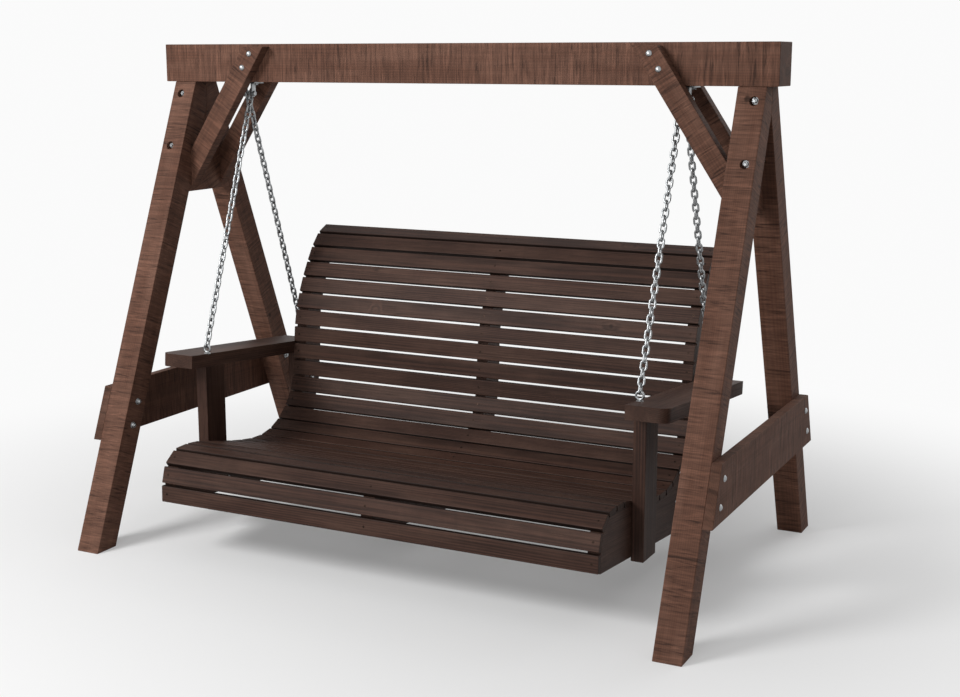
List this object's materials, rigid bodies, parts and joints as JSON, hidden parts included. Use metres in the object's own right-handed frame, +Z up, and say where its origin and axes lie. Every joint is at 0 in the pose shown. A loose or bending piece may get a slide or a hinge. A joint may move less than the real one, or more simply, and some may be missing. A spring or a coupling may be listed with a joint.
{
  "type": "porch swing seat",
  "caption": "Free-standing porch swing: a contoured slatted timber bench with flat arms, hung on steel chains under the beam of a braced A-frame stand.",
  "frame": {"origin": "on the ground, midway between the four feet", "axes": "+X along the beam to the right as one sits, seen from in front to the right; +Y from the front edge of the bench to its back; +Z up"},
  "size_m": [2.414, 1.5, 1.832],
  "materials": {
    "stand_timber": "brown-stained softwood, matt",
    "bench_timber": "dark walnut stain, low sheen",
    "galvanised_steel": "bright galvanised",
    "dark_screws": "dark brown coating"
  },
  "bodies": {
    "stand": {"top_beam": "stand_timber", "leg_front_left": "stand_timber", "leg_front_right": "stand_timber", "leg_rear_left": "stand_timber", "leg_rear_right": "stand_timber", "cross_tie_left": "stand_timber", "cross_tie_right": "stand_timber", "spreader_left": "stand_timber", "spreader_right": "stand_timber", "knee_brace_front_left": "stand_timber", "knee_brace_front_right": "stand_timber", "knee_brace_rear_left": "stand_timber", "knee_brace_rear_right": "stand_timber", "hanger_brackets": "galvanised_steel", "stand_fixings": "galvanised_steel"},
    "bench": {"seat_rail_left": "bench_timber", "seat_rail_centre": "bench_timber", "seat_rail_right": "bench_timber", "back_rail_left": "bench_timber", "back_rail_centre": "bench_timber", "back_rail_right": "bench_timber", "front_post_left": "bench_timber", "front_post_right": "bench_timber", "rear_post_left": "bench_timber", "rear_post_right": "bench_timber", "arm_left": "bench_timber", "arm_right": "bench_timber", "chain_front_left": "galvanised_steel", "chain_front_right": "galvanised_steel", "chain_rear_left": "galvanised_steel", "chain_rear_right": "galvanised_steel", "arm_eye_bolts": "galvanised_steel", "bench_coach_screws": "galvanised_steel", "slat_screws": "dark_screws", "front_slat_1": "bench_timber", "front_slat_2": "bench_timber", "front_slat_3": "bench_timber", "seat_slat_1": "bench_timber", "seat_slat_2": "bench_timber", "seat_slat_3": "bench_timber", "seat_slat_4": "bench_timber", "seat_slat_5": "bench_timber", "seat_slat_6": "bench_timber", "seat_slat_7": "bench_timber", "seat_slat_8": "bench_timber", "seat_slat_9": "bench_timber", "seat_slat_10": "bench_timber", "seat_slat_11": "bench_timber", "back_slat_1": "bench_timber", "back_slat_2": "bench_timber", "back_slat_3": "bench_timber", "back_slat_4": "bench_timber", "back_slat_5": "bench_timber", "back_slat_6": "bench_timber", "back_slat_7": "bench_timber", "back_slat_8": "bench_timber", "back_slat_9": "bench_timber", "back_slat_10": "bench_timber", "back_slat_11": "bench_timber", "back_slat_12": "bench_timber"}
  },
  "joints": [
    {"name": "bench_swing", "type": "hinge", "parent": "stand", "child": "bench", "pos_m": [0, 0, 1.648], "axis": [1, 0, 0], "range_deg": [-16, 16]}
  ]
}
